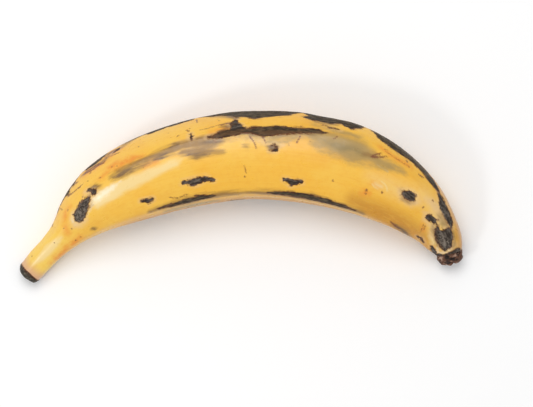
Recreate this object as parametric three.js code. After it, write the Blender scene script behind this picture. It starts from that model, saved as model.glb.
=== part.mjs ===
// A whole ripe plantain as picked, lying on its flank. It grew in one piece, so it is one solid:
// the stem stalk with its dried cut, the five-ridged body, and the dried flower remnant at the tip.
//
// Rings of points are laid round a bent centreline. The centreline lies in the fruit's own plane:
// +U runs from the stem to the tip, +V to the convex side, and +W up out of the plane. An angle
// round the fruit is 0 on the convex side and 90 on the upper flank.
import * as THREE from "three";

// Driving dimensions, in millimetres and degrees.
const PEEL_LENGTH = 294; // along the centreline in plan, from the dried cut to the flower remnant
const HALF_WIDTH = 28.2; // of the body at its thickest
const RIDGE_SHARE = 0.55; // how far the section goes from round (0) towards five-sided (1)
const RIDGE_SHARPNESS = 7; // a higher power gives a tighter corner at each ridge
const RIDGE_FILL = 1.11; // brings the five-sided section out to the round one's size
const STEM_DROOP = 14.5; // how far the stem end bends down out of the fruit's plane, to the ground
const TIP_DROOP = 13.8; // the same for the tip
const DROOP_POWER = 4; // a higher power keeps the bend nearer to the ends
const LEAN = 3.2; // lifts the convex side
const ROLL = -0.3; // lowers the tip against the stem
const FLAT_DEPTH = 0.7; // how far the resting spots are pressed flat
const BODY_RINGS = 56;

// Share of the length, heading of the centreline in degrees, share of the half-width.
const STATIONS = [
  [0.0, 46, 0.27],
  [0.06, 46.5, 0.28],
  [0.113, 45.5, 0.39],
  [0.162, 42, 0.56],
  [0.219, 33, 0.745],
  [0.281, 24, 0.865],
  [0.351, 17.5, 0.935],
  [0.446, 10, 0.98],
  [0.549, -0.5, 0.995],
  [0.654, -9.5, 1.0],
  [0.72, -16, 0.985],
  [0.77, -22.5, 0.945],
  [0.823, -30, 0.87],
  [0.894, -41, 0.7],
  [0.948, -53, 0.515],
  [0.98, -62, 0.42],
  [1.0, -70, 0.325],
];

// Share of the length, then the angle of each of the five ridges. They twist towards the tip.
const RIDGES = [
  [0.0, 4, 70, 142, 215, 290],
  [0.3, 8, 64, 140, 214, 294],
  [0.6, 18, 55, 140, 218, 300],
  [0.8, 31, 60, 146, 226, 310],
  [1.0, 52, 90, 164, 242, 326],
];
const POINTS_BETWEEN_RIDGES = [7, 12, 11, 11, 9];

// Rings past the peel, and the middle point that closes them. Each ring has its distance out along
// the centreline, its share of the peel's radius there, and its lumpiness as a share of that. The
// outermost rings sit `shift` nearer to the convex side than the peel does.
const STEM_CUT = {
  rings: [
    [0.8, 1.0, 0.01],
    [2.3, 0.96, 0.03],
    [3.3, 0.82, 0.05],
    [3.5, 0.56, 0.06],
    [2.8, 0.28, 0.05],
  ],
  middle: 2.7,
  lobes: 7,
  shift: 0,
};
const FLOWER_REMNANT = {
  rings: [
    [0.6, 0.92, 0.02],
    [1.7, 0.84, 0.05],
    [3.2, 0.88, 0.1],
    [5.4, 0.9, 0.12],
    [7.4, 0.78, 0.13],
    [8.2, 0.56, 0.12],
    [7.0, 0.36, 0.08],
    [6.4, 0.2, 0.05],
  ],
  middle: 7.2,
  lobes: 9,
  shift: 0.5,
};

const CENTRELINE_STEPS = 2000;
const radians = THREE.MathUtils.degToRad;

// A smooth curve through column `column` of a table whose first column rises.
function smooth(table, column, at) {
  const last = table.length - 1;
  let i = 0;
  while (i < last - 1 && table[i + 1][0] < at) i += 1;
  const slope = (k) => {
    const a = table[Math.max(k - 1, 0)];
    const b = table[Math.min(k + 1, last)];
    return (b[column] - a[column]) / (b[0] - a[0]);
  };
  const h = table[i + 1][0] - table[i][0];
  const t = (at - table[i][0]) / h;
  const start = table[i][column] * (1 + 2 * t) * (1 - t) ** 2 + slope(i) * h * t * (1 - t) ** 2;
  const end = table[i + 1][column] * t * t * (3 - 2 * t) + slope(i + 1) * h * t * t * (t - 1);
  return start + end;
}

// Points of the centreline in the fruit's plane, evenly spaced along it.
function makeCentreline() {
  const points = [new THREE.Vector2(0, 0)];
  const step = PEEL_LENGTH / CENTRELINE_STEPS;
  for (let i = 0; i < CENTRELINE_STEPS; i += 1) {
    const heading = radians(smooth(STATIONS, 1, (i + 0.5) / CENTRELINE_STEPS));
    const last = points[i];
    points.push(new THREE.Vector2(last.x + step * Math.cos(heading), last.y + step * Math.sin(heading)));
  }
  return points;
}
const CENTRELINE = makeCentreline();

// Distance from the centreline to the peel, at a share of the length and an angle round the fruit.
function radiusAt(along, angle) {
  const ridges = [1, 2, 3, 4, 5].map((column) => smooth(RIDGES, column, along));
  let sum = 0;
  ridges.forEach((ridge, i) => {
    const next = i < 4 ? ridges[i + 1] : ridges[0] + 360;
    const facing = Math.cos(radians(angle - (ridge + next) / 2));
    const depth = Math.cos(radians((next - ridge) / 2));
    sum += Math.max(0, facing / depth) ** RIDGE_SHARPNESS;
  });
  const fiveSided = RIDGE_FILL * sum ** (-1 / RIDGE_SHARPNESS);
  return HALF_WIDTH * smooth(STATIONS, 2, along) * (1 - RIDGE_SHARE + RIDGE_SHARE * fiveSided);
}

// The angles of one ring's points: each ridge, and evenly spaced points between it and the next.
function ringAngles(along) {
  const ridges = [1, 2, 3, 4, 5].map((column) => smooth(RIDGES, column, along));
  return POINTS_BETWEEN_RIDGES.flatMap((count, i) => {
    const next = i < 4 ? ridges[i + 1] : ridges[0] + 360;
    return Array.from({ length: count }, (_, k) => ridges[i] + ((next - ridges[i]) * k) / count);
  });
}

// A point at an angle and a distance from the centreline, moved `out` along the centreline and
// `shift` towards the convex side.
function place(along, angle, radius, out = 0, shift = 0) {
  const flat = CENTRELINE[Math.round(along * CENTRELINE_STEPS)];
  const fromMiddle = 2 * along - 1;
  const droop = fromMiddle < 0 ? STEM_DROOP : TIP_DROOP;
  const height = -droop * fromMiddle ** DROOP_POWER;
  const slope = (-2 * droop * DROOP_POWER * fromMiddle ** (DROOP_POWER - 1)) / PEEL_LENGTH;
  const heading = radians(smooth(STATIONS, 1, along));
  const forward = new THREE.Vector3(Math.cos(heading), Math.sin(heading), slope).normalize();
  const outward = new THREE.Vector3(-Math.sin(heading), Math.cos(heading), 0);
  const upward = new THREE.Vector3().crossVectors(forward, outward);
  return new THREE.Vector3(flat.x, flat.y, height)
    .addScaledVector(forward, out)
    .addScaledVector(outward, shift + radius * Math.cos(radians(angle)))
    .addScaledVector(upward, radius * Math.sin(radians(angle)));
}

// Uneven knobbles round a dried end, from -1 to 1.
function knobble(angle, lobes) {
  const a = radians(angle);
  return 0.6 * Math.cos(lobes * a + 0.7) + 0.4 * Math.cos((lobes - 4) * a + 2.1);
}

// The rings that close one end of the fruit, from the peel outwards and in to the middle.
function endRings(end, along, direction) {
  return end.rings.map(([out, share, lumps]) => {
    const shift = end.shift * Math.min(1, out / end.middle);
    return ringAngles(along).map((angle) => {
      const radius = radiusAt(along, angle) * share * (1 + lumps * knobble(angle, end.lobes));
      return place(along, angle, radius, direction * out, shift);
    });
  });
}

// One closed mesh from rings of equally many points, and a middle point at each end.
function loft(rings, firstMiddle, lastMiddle) {
  const count = rings[0].length;
  const points = [...rings.flat(), firstMiddle, lastMiddle];
  const faces = [];
  for (let k = 0; k < count; k += 1) {
    const next = (k + 1) % count;
    faces.push([points.length - 2, next, k]);
    for (let i = 0; i + 1 < rings.length; i += 1) {
      const near = i * count;
      const far = near + count;
      faces.push([near + k, far + next, far + k], [near + k, near + next, far + next]);
    }
    const lastRing = (rings.length - 1) * count;
    faces.push([points.length - 1, lastRing + k, lastRing + next]);
  }
  return new THREE.BufferGeometry().setFromPoints(points).setIndex(faces.flat());
}

// Lays the fruit on the ground: leans it, sets its base at z 0 and its box over the origin, and
// presses flat what reaches below the ground.
function settle(geometry) {
  geometry.rotateX(radians(LEAN)).rotateY(radians(ROLL));
  geometry.computeBoundingBox();
  geometry.translate(0, 0, -geometry.boundingBox.min.z - FLAT_DEPTH);
  const position = geometry.getAttribute("position");
  for (let i = 0; i < position.count; i += 1) position.setZ(i, Math.max(0, position.getZ(i)));
  geometry.computeBoundingBox();
  const middle = geometry.boundingBox.getCenter(new THREE.Vector3());
  return geometry.translate(-middle.x, -middle.y, 0);
}

function makePlantain() {
  const bodyRings = Array.from({ length: BODY_RINGS + 1 }, (_, i) => {
    const along = i / BODY_RINGS;
    return ringAngles(along).map((angle) => place(along, angle, radiusAt(along, angle)));
  });
  const rings = [
    ...endRings(STEM_CUT, 0, -1).reverse(),
    ...bodyRings,
    ...endRings(FLOWER_REMNANT, 1, 1),
  ];
  const stemMiddle = place(0, 0, 0, -STEM_CUT.middle, STEM_CUT.shift);
  const tipMiddle = place(1, 0, 0, FLOWER_REMNANT.middle, FLOWER_REMNANT.shift);
  const geometry = loft(rings, stemMiddle, tipMiddle);
  const peel = new THREE.MeshStandardMaterial({ color: 0xe6a93a, roughness: 0.45, metalness: 0 });
  const plantain = new THREE.Mesh(settle(geometry), peel);
  plantain.name = "plantain";
  return plantain;
}

const group = new THREE.Group();
group.add(makePlantain());

export default group;
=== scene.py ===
"""The looks of a whole ripe plantain lying on its flank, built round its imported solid.

The peel is a fine mesh of rings round a bent centreline, as the solid is. A place on it is given as
millimetres along the centreline from the stem's cut, and degrees round the fruit: 0 is the convex
side, 90 the flank that faces up and 270 the flank that it lies on. A mark is a list of such places:
a stroke with half its width at each, or an outline. The peel, the stem's cut and the flower remnant
are a piece each.
"""
import math

import bpy
import numpy as np
from mathutils import Matrix, Vector, noise


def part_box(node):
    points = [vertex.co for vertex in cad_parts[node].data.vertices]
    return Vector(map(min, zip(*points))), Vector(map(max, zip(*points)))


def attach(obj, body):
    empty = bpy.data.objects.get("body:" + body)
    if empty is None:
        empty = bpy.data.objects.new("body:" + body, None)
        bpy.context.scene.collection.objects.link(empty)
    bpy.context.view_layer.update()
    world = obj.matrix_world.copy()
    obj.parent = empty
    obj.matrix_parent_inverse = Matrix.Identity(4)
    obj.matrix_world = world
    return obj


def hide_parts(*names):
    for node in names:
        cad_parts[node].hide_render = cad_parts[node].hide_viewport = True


MM = 0.001  # lengths are in millimetres up to the point where a mesh, light or camera is made

# ---------------------------------------------------------------- the fruit's shape, as in the CAD

PEEL_LENGTH = 294  # along the centreline in plan
HALF_WIDTH = 28.2
RIDGE_SHARE = 0.55
RIDGE_SHARPNESS = 7
RIDGE_FILL = 1.11
STEM_DROOP = 14.5
TIP_DROOP = 13.8
DROOP_POWER = 4
LEAN = 3.2
ROLL = -0.3
CENTRELINE_STEPS = 2000

# Share of the length, heading of the centreline in degrees, share of the half-width.
STATIONS = np.array([
    [0.0, 46, 0.27],
    [0.06, 46.5, 0.28],
    [0.113, 45.5, 0.39],
    [0.162, 42, 0.56],
    [0.219, 33, 0.745],
    [0.281, 24, 0.865],
    [0.351, 17.5, 0.935],
    [0.446, 10, 0.98],
    [0.549, -0.5, 0.995],
    [0.654, -9.5, 1.0],
    [0.72, -16, 0.985],
    [0.77, -22.5, 0.945],
    [0.823, -30, 0.87],
    [0.894, -41, 0.7],
    [0.948, -53, 0.515],
    [0.98, -62, 0.42],
    [1.0, -70, 0.325],
])

# Share of the length, then the angle of each of the five ridges.
RIDGES = np.array([
    [0.0, 4, 70, 142, 215, 290],
    [0.3, 8, 64, 140, 214, 294],
    [0.6, 18, 55, 140, 218, 300],
    [0.8, 31, 60, 146, 226, 310],
    [1.0, 52, 90, 164, 242, 326],
])

# The dried ends: where each is along the peel and which way it points, its knobbles, how far its
# middle is moved towards the convex side, and its rings from inside the peel's edge. A ring has a
# distance out, a share of the peel's radius and a lumpiness.
STEM_CUT = {
    "share": 0.0,
    "direction": -1,
    "lobes": 7,
    "shift": 0.0,
    "rings": [
        (-0.6, 0.88, 0.0), (0.1, 0.93, 0.0), (0.8, 0.99, 0.01), (2.3, 0.96, 0.03),
        (3.3, 0.82, 0.05), (3.5, 0.56, 0.06), (2.8, 0.28, 0.05), (2.7, 0.02, 0.0),
    ],
}
REMNANT = {
    "share": 1.0,
    "direction": 1,
    "lobes": 9,
    "shift": 0.5,
    "rings": [
        (-0.6, 0.86, 0.0), (0.6, 0.9, 0.02), (1.7, 0.84, 0.05), (3.2, 0.88, 0.1), (5.4, 0.9, 0.12),
        (7.4, 0.78, 0.13), (8.2, 0.56, 0.12), (7.0, 0.36, 0.08), (6.4, 0.2, 0.05), (7.2, 0.02, 0.0),
    ],
}
SHIFTED_FROM = 7.2  # how far out an end is moved by its whole shift
END_WIDTH = 0.3  # rough width of a dried end, as a share of the fruit's
CONVEX_ANGLE = 12


def smooth(table, column, at):
    """A smooth curve through one column of a table whose first column rises."""
    at = np.asarray(at, float)
    x = table[:, 0]
    y = table[:, column]
    last = len(x) - 1
    before = np.maximum(np.arange(last + 1) - 1, 0)
    after = np.minimum(np.arange(last + 1) + 1, last)
    slope = (y[after] - y[before]) / (x[after] - x[before])
    i = np.clip(np.searchsorted(x, at) - 1, 0, last - 1)
    h = x[i + 1] - x[i]
    t = (at - x[i]) / h
    start = y[i] * (1 + 2 * t) * (1 - t) ** 2 + slope[i] * h * t * (1 - t) ** 2
    end = y[i + 1] * t * t * (3 - 2 * t) + slope[i + 1] * h * t * t * (t - 1)
    return start + end


def make_centreline():
    """Points of the centreline in the fruit's own plane, evenly spaced along it."""
    shares = (np.arange(CENTRELINE_STEPS) + 0.5) / CENTRELINE_STEPS
    heading = np.radians(smooth(STATIONS, 1, shares))
    steps = np.stack([np.cos(heading), np.sin(heading)], 1) * PEEL_LENGTH / CENTRELINE_STEPS
    return np.vstack([[0, 0], np.cumsum(steps, 0)])


CENTRELINE = make_centreline()


def radius_at(share, angle):
    """Distance from the centreline to the smooth peel."""
    ridges = np.stack([smooth(RIDGES, k, share) for k in range(1, 6)], -1)
    nexts = np.roll(ridges, -1, -1)
    nexts[..., -1] += 360
    facing = np.cos(np.radians(angle[..., None] - (ridges + nexts) / 2))
    depth = np.cos(np.radians((nexts - ridges) / 2))
    total = (np.maximum(facing / depth, 0) ** RIDGE_SHARPNESS).sum(-1)
    five_sided = RIDGE_FILL * total ** (-1 / RIDGE_SHARPNESS)
    round_share = 1 - RIDGE_SHARE
    return HALF_WIDTH * smooth(STATIONS, 2, share) * (round_share + RIDGE_SHARE * five_sided)


def place(share, angle, radius, out=0.0, shift=0.0):
    """Points in the fruit's own frame, in millimetres. `out` is past the peel's end."""
    steps = np.linspace(0, 1, CENTRELINE_STEPS + 1)
    from_middle = 2 * share - 1
    droop = np.where(from_middle < 0, STEM_DROOP, TIP_DROOP)
    height = -droop * from_middle ** DROOP_POWER
    slope = -2 * droop * DROOP_POWER * from_middle ** (DROOP_POWER - 1) / PEEL_LENGTH
    heading = np.radians(smooth(STATIONS, 1, share))
    forward = np.stack([np.cos(heading), np.sin(heading), slope], -1)
    forward /= np.linalg.norm(forward, axis=-1, keepdims=True)
    outward = np.stack([-np.sin(heading), np.cos(heading), 0 * heading], -1)
    upward = np.cross(forward, outward)
    u = np.interp(share, steps, CENTRELINE[:, 0])
    v = np.interp(share, steps, CENTRELINE[:, 1])
    sideways = shift + radius * np.cos(np.radians(angle))
    up = radius * np.sin(np.radians(angle))
    middle = np.stack([u, v, height], -1)
    return middle + forward * out + outward * sideways[..., None] + upward * up[..., None]


def grid(rows, columns):
    """Row numbers and angles for rings of evenly spaced points."""
    row, column = np.meshgrid(np.arange(rows), np.arange(columns), indexing="ij")
    return row.astype(float), 360.0 * column / columns


def convexness(angle):
    """1 on the fruit's convex side, falling to 0 a quarter of the way round."""
    return np.maximum(0, np.cos(np.radians(angle - CONVEX_ANGLE))) ** 2


def knobble(angle, lobes):
    """Uneven knobbles round a dried end, from -1 to 1."""
    a = np.radians(angle)
    return 0.6 * np.cos(lobes * a + 0.7) + 0.4 * np.cos((lobes - 4) * a + 2.1)


def end_surface(end, rows, columns, trim=0.0):
    """Points over a dried end from its edge to its middle, and how far along that way they are.

    `trim` is the share of its radius that it lacks on the convex side.
    """
    table = np.array(end["rings"])
    strides = np.hypot(np.diff(table[:, 0]), np.diff(table[:, 1]) * HALF_WIDTH * END_WIDTH)
    way = np.concatenate([[0], np.cumsum(strides)])
    table = np.column_stack([way / way[-1], table])
    row, angle = grid(rows, columns)
    at = row / (rows - 1)
    out = smooth(table, 1, at)
    lumps = smooth(table, 3, at) * knobble(angle, end["lobes"]) - trim * convexness(angle)
    shares = np.full_like(angle, end["share"])
    radius = radius_at(shares, angle) * smooth(table, 2, at) * (1 + lumps)
    moved = end["shift"] * np.clip(out / SHIFTED_FROM, 0, 1)
    return place(shares, angle, radius, end["direction"] * out[..., None], moved), at


# ------------------------------------------------------------------------------ into the row frame

FRUIT_AXES = (
    Matrix.Rotation(math.radians(ROLL), 3, "Y") @ Matrix.Rotation(math.radians(LEAN), 3, "X")
)
TURN = np.array(FRUIT_AXES)
# Rings and columns that are enough to measure the smooth fruit.
MEASURED_PEEL = (200, 180)
MEASURED_STEM_CUT = (40, 180)
MEASURED_REMNANT = (60, 180)


def find_offset():
    """Where the fruit's own origin lies in the row frame: the smooth fruit's box on the CAD box."""
    row, angle = grid(*MEASURED_PEEL)
    share = row / row.max()
    peel = place(share, angle, radius_at(share, angle))
    stem = end_surface(STEM_CUT, *MEASURED_STEM_CUT)[0]
    tip = end_surface(REMNANT, *MEASURED_REMNANT)[0]
    points = np.vstack([part.reshape(-1, 3) for part in (peel, stem, tip)]) @ TURN.T
    low, high = (np.array(corner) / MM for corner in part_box("plantain"))
    middle = (low + high) / 2 - (points.min(0) + points.max(0)) / 2
    return np.array([middle[0], middle[1], high[2] - points[:, 2].max()])


# ------------------------------------------------------------------------------ marks on the peel
#
# Each mark is a list. Where its places have three numbers, it is a stroke with half its width in
# millimetres at each place. Where they have two, it is an outline. The places on the side that shows
# were picked by eye on the photograph and turned into millimetres and degrees by a separate script.
# Many were moved after that. The places on the other sides are made up.

# Dried bands along the ridges, nearly black.
BANDS = {
    # the ridge on the convex side, from the stem to the tip
    "a_stem_1": [(33, 9, 0.6), (36, 10, 0.9), (39, 11, 1.2)],
    "a_stem_2": [
        (40.3, 0), (41.6, 15), (44, 16), (46.5, 17.5), (48, 22), (48.9, 27.5), (49.8, 24), (51, 19),
        (52.6, 16), (53.6, 18), (54.4, 22), (55.4, 18), (57, 14.5), (59.2, 12.5), (60, 0), (52, -4),
    ],
    "a_shoulder": [
        (60.5, 2), (62, 10), (64, 17), (67, 20.5), (70, 21.5), (73, 20), (75.5, 15.5), (78, 9),
        (77, -4), (69, -8),
    ],
    "a_long": [
        (77, 3, 2.6), (84, 4, 2.8), (92, 6, 2.9), (100, 7, 3.2), (103, 8, 4.7), (108, 8.5, 4.6),
        (111, 8, 4), (114, 8.5, 4.8), (123, 8.5, 4.6), (126, 7, 3), (130, 6, 3.8),
    ],
    "a_middle": [
        (129, 6), (130, 15.5), (135, 19), (140, 21.5), (144, 26.5), (146.4, 31), (148, 36),
        (150, 33.5), (151.5, 33), (154, 35.7), (158, 38.6), (161.5, 37.4), (166, 35.5), (171, 34),
        (175, 31), (177.2, 27.5), (180.7, 23.7), (183, 21), (185, 14), (183, 9), (174, 7), (165, 8),
        (156, 5), (147, 6), (138, 4),
    ],
    "a_far": [
        (182.8, 31.5), (184.5, 34.5), (189, 36.2), (192.5, 36), (195, 37), (198, 38), (200.4, 35.3),
        (203.2, 33.8), (205.5, 37), (208.7, 38.8), (211.5, 35.5), (214, 31.5), (216, 24), (214, 14),
        (208, 10), (199, 9), (190, 11), (181, 8), (182, 18), (184.6, 24.5), (186, 27.5),
        (184.6, 29.5),
    ],
    "a_bend": [
        (218.6, 24), (220.5, 29), (222.5, 35), (224.5, 38.3), (228.2, 39.5), (232, 42), (236, 42.3),
        (240, 41.3), (244, 41.3), (248.5, 41.8), (251.5, 43.3), (254, 45.8), (257.5, 46.3),
        (261.5, 47), (263.4, 44), (262.5, 38.5), (259.5, 29.5), (256.7, 24.5), (253.8, 17),
        (250, 12.5), (246, 12), (241.5, 11.5), (237, 9.5), (231, 8), (224, 7), (219.5, 12),
    ],
    # the ridge between the convex side and the upper flank
    "b": [
        (131.5, 61.6), (134.8, 60), (137, 58.6), (138.8, 56), (141, 54), (144.5, 53), (150, 53.5),
        (153, 55.2), (157, 53.5), (161, 52.3), (166, 52.2), (171.5, 51.4), (177, 51.9), (182, 51.6),
        (188, 51), (192, 50.3), (195.2, 52), (197.5, 53.2), (194.8, 55.4), (192, 56), (188, 58.5),
        (182, 59.5), (175.5, 61), (171.5, 63), (166, 64.8), (162.2, 65.8), (157, 62.2),
        (153.5, 61.3), (149.5, 62.2), (146, 63.6), (140, 63.6), (136.5, 64.4), (133, 62.6),
    ],
    # the ridge below the upper flank, on the concave side
    "c_1": [(92, 140, 0.6), (104, 141, 1.9), (118, 140, 2.4), (130, 140, 0.8)],
    "c_2": [(166, 140, 0.7), (180, 141, 2), (199, 142, 2.7), (214, 143, 1.7), (226, 145, 0.7)],
    # the two ridges of the flank that it lies on
    "d_1": [(58, 215, 0.6), (72, 214, 1.7), (88, 214, 2.3), (99, 213, 0.8)],
    "d_2": [(139, 214, 0.8), (152, 216, 2.6), (171, 217, 3.1), (186, 218, 1.4)],
    "d_3": [(226, 223, 0.8), (240, 229, 2.3), (256, 234, 1.4)],
    "e_1": [(86, 293, 0.7), (101, 294, 2.2), (122, 296, 3), (138, 298, 1.5)],
    "e_2": [(189, 301, 0.8), (204, 303, 2.4), (223, 307, 3.2), (241, 311, 2), (254, 314, 0.8)],
}

# Dried blotches, nearly black with ragged edges.
BLOTCHES = {
    "scab": [(79.8, 24, 0.3), (81, 23, 0.8), (82.5, 21.5, 1), (83.2, 19, 0.9)],
    "b_peak": [
        (144, 44.8), (145.7, 41.8), (147.5, 38), (148.7, 39.6), (149.4, 45), (151, 49),
        (152.5, 53.5), (154, 56), (150, 59), (146, 59), (144.2, 55), (145.2, 50),
    ],
    "flank_spot": [
        (166.2, 83.6, 0.3), (168.6, 83.2, 0.8), (170, 82, 1), (170.2, 79.5, 0.7),
        (169.2, 77.5, 0.5),
    ],
    "flank_spot_top": [(167.4, 76.6, 0.5), (169, 75.4, 0.6)],
    "streak_1": [(195.8, 42.9, 0.3), (198, 44.5, 0.5), (200.8, 44.8, 0.5), (203.4, 44.6, 0.3)],
    # near the stem
    "oval": [
        (58.9, 71.6), (57.5, 68.9), (55.4, 67.9), (52.8, 68), (50.8, 68.8), (48.7, 69.1),
        (46.8, 70.2), (45.2, 73), (44, 79.6), (43, 86), (43.3, 92), (44.7, 96.4), (46.7, 98.6),
        (48.8, 96.4), (51.4, 91.6), (54, 87.4), (55.9, 82.9), (57.4, 77.6), (58.6, 74.2),
    ],
    "oval_blot": [
        (58.8, 60.2), (60.8, 61.2), (62.2, 63.5), (63.3, 67.5), (63.8, 72), (63, 76), (61.2, 76.4),
        (60, 71.5), (60.6, 68), (59.8, 65),
    ],
    # near the tip
    "a_tip": [
        (262.5, 48.5), (264, 53), (265.5, 57.5), (267, 62.3), (268.8, 65.3), (270.8, 67.4),
        (273.8, 67.6), (276.5, 66.8), (279, 66.6), (281.3, 66.8), (282, 63), (280.8, 56.5),
        (279, 51.8), (277.5, 50), (275.2, 48.5), (272.5, 47.6), (270, 45.6), (267.8, 44.6),
        (266, 43), (264, 42.5),
    ],
    "blotch_1": [
        (246.5, 92.4), (246.1, 86.5), (247.2, 82.6), (249.4, 80), (252.6, 78.4), (254.2, 79.6),
        (254.9, 84.5), (255, 90), (253.4, 94), (251.2, 94.6), (248, 94.2),
    ],
    "blotch_2": [
        (266, 98.3), (265.4, 92.8), (266, 87.8), (267.7, 85.4), (270, 84.3), (272, 82.6),
        (272.6, 86), (273.3, 91), (272, 94.4), (270, 96.6), (268, 99),
    ],
    "blotch_2_link": [(273, 89, 0.5), (275.1, 90.8, 0.6), (276.5, 93.6, 0.9)],
    "tip_patch": [
        (273.8, 92.5), (276.4, 94), (277.6, 89.5), (278.4, 83), (278.8, 76), (279.6, 68.5),
        (280.8, 64.5), (283.2, 66.8), (286, 70.5), (288.8, 77), (290.2, 87), (291.2, 98),
        (291.4, 110), (289.5, 116), (285, 116.6), (281, 115), (278.4, 111), (277, 104), (275, 97.5),
    ],
    "tip_flank": [
        (284.6, 141.5), (284.4, 134.5), (287.2, 134.5), (290.6, 137), (293.4, 146), (293.6, 158),
        (291.6, 163.5), (288, 153),
    ],
    "tip_flank_edge": [(288, 164, 0.6), (293, 169, 1.6)],
    "tip_line": [(272.9, 144.7, 0.3), (275.1, 144, 0.7), (277.7, 146.8, 0.7), (280.5, 152, 0.4)],
    # where the fruit faces down and inwards
    "inner_1": [(112, 113, 1.2), (119, 116, 2.6), (126, 114, 1.6), (131, 118, 0.8)],
    "inner_2": [(176, 121, 1), (181, 124, 2.2), (187, 122, 1.2)],
    "inner_3": [(84, 121, 0.9), (88, 124, 1.7), (91, 123, 0.8)],
    "inner_side_1": [(138, 172, 1), (143, 175, 2.6), (149, 173, 1.5)],
    "inner_side_2": [(206, 184, 0.8), (211, 188, 1.9), (215, 187, 0.9)],
    "under_1": [(118, 246, 1), (123, 249, 3), (130, 247, 1.9)],
    "under_2": [(196, 259, 1.4), (201, 262, 3.2), (206, 259, 1.5)],
    "under_3": [(68, 262, 0.8), (73, 265, 2), (79, 263, 0.9)],
    "outer_side_1": [(146, 331, 1), (152, 334, 2.5), (158, 332, 1.2)],
    "outer_side_2": [(232, 344, 1.2), (237, 347, 2.6), (243, 346, 1.4)],
    "tip_under_1": [(273, 270, 1), (279, 275, 2.6), (287, 279, 2.2)],
    "tip_under_2": [(280, 208, 0.9), (286, 213, 2.2), (292, 217, 1.8)],
    "tip_under_3": [(281, 338, 0.8), (288, 344, 2), (293, 348, 1.4)],
    "end": [
        (294.2, 72, 0.6), (293.8, 95, 1.1), (294.4, 118, 0.7), (293.6, 138, 1.3), (293.6, 156, 1.2),
    ],
    "above_b": [(123, 51, 0.75), (123, 54.7, 1.1), (122.8, 58.8, 0.75)],
    "b_start": [(131.8, 61.4, 0.7), (135, 62, 1.2), (139, 61.5, 1.5)],
}

# Small brown spots, each a mark with one place.
DOTS = [
    # on the stem
    (9, 44, 0.4), (24.8, 82.7, 0.3), (30, 18, 0.9),
    # on the neck
    (44.2, 55, 0.5), (38.3, 94.3, 0.45), (34.5, 130, 0.45), (38.3, 129.7, 0.4), (35, 75.8, 0.35),
    # on the shoulder, beside the neck
    (55.7, 64.2, 0.5), (57, 42.4, 0.5), (62.1, 46.3, 0.35), (68.7, 58, 0.5), (65.2, 34, 0.55),
    (79.3, 56.5, 0.35), (76.8, 52.6, 0.35),
    # the upper flank and the ridges beside it
    (93.8, 39.7, 0.4), (111, 35, 0.3), (123, 39.7, 0.4), (139, 35, 0.45), (177.1, 74.1, 0.4),
    (188.5, 66.7, 0.35), (182.9, 49.6, 0.6), (135.6, 67.2, 0.8),
    # towards the tip
    (227.4, 111, 0.75), (236.4, 104.5, 0.75), (262.7, 66.9, 0.6), (261.1, 86.6, 0.6),
    (272.2, 81.1, 0.8), (227.8, 116.1, 0.6), (240.7, 45.8, 0.6), (242.1, 51, 0.35), (228, 49, 0.4),
    (229.3, 48.2, 0.35), (218.8, 28, 0.5),
    # the sides that face inwards, down and away
    (151, 118, 0.6), (100, 150, 0.7), (206, 112, 0.6), (170, 200, 0.8), (120, 225, 0.6),
    (214, 322, 0.8), (96, 340, 0.7),
]

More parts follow.
